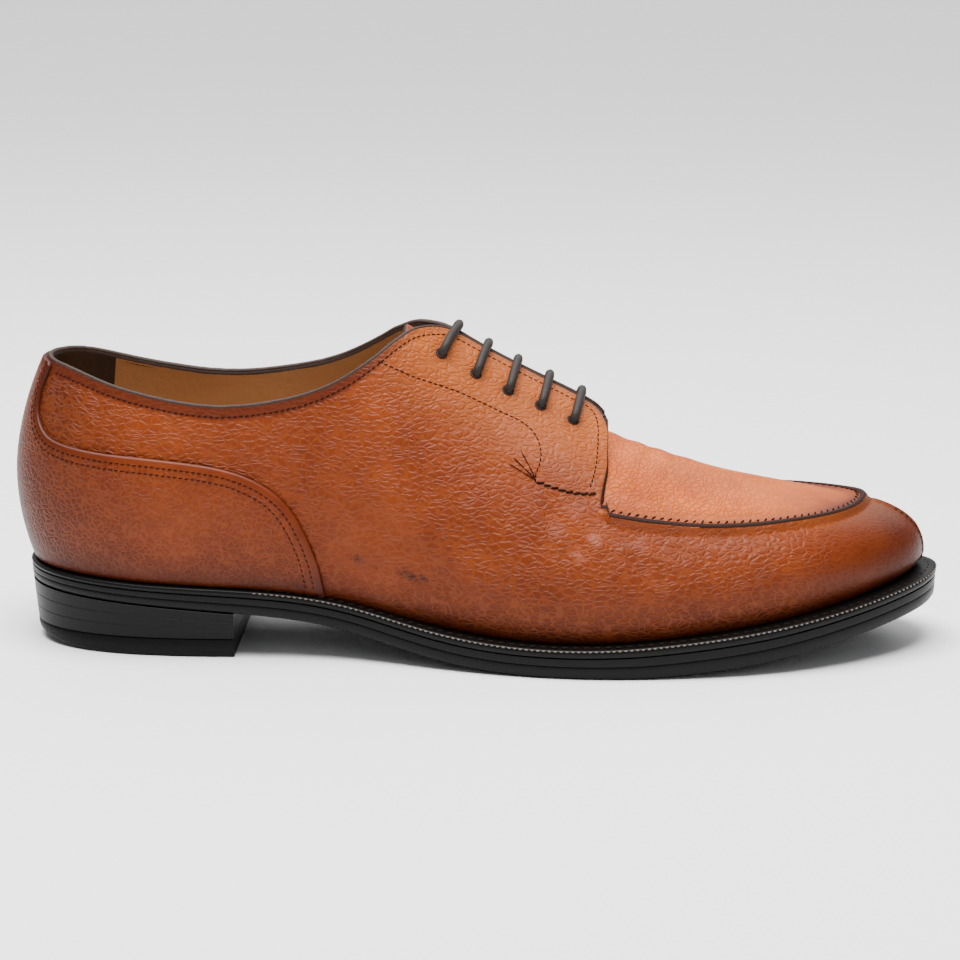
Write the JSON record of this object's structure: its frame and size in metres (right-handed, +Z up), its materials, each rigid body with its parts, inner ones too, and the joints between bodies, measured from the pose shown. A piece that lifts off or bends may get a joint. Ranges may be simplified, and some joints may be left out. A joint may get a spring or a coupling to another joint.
{
  "type": "split toe derby shoe",
  "caption": "Right lace-up derby dress shoe with a raised apron seam, split toe seam, heel counter and welted double sole.",
  "frame": {"origin": "middle of the whole shoe's box, on the floor", "axes": "+X from heel to toe, +Z up, -Y is the outer side of the right shoe"},
  "size_m": [0.3101, 0.1056, 0.1076],
  "materials": {
    "upper_leather": "pebbled tan leather, burnished darker at heel and toe",
    "lining_leather": "smooth natural lining leather",
    "sole_edge": "black waxed edge, semi-gloss",
    "heel_rubber": "black rubber, matt",
    "lace_cord": "dark brown round waxed cord"
  },
  "bodies": {
    "root": {"outsole": "sole_edge", "midsole": "sole_edge", "welt": "sole_edge", "heel_lift_1": "sole_edge", "heel_lift_2": "sole_edge", "heel_lift_3": "sole_edge", "heel_top_piece": "heel_rubber", "upper": "upper_leather", "tongue": "upper_leather", "insole": "lining_leather", "heel_counter": "upper_leather", "lace_bar_1": "lace_cord", "lace_bar_2": "lace_cord", "lace_bar_3": "lace_cord", "lace_bar_4": "lace_cord", "lace_bar_5": "lace_cord"}
  },
  "joints": []
}
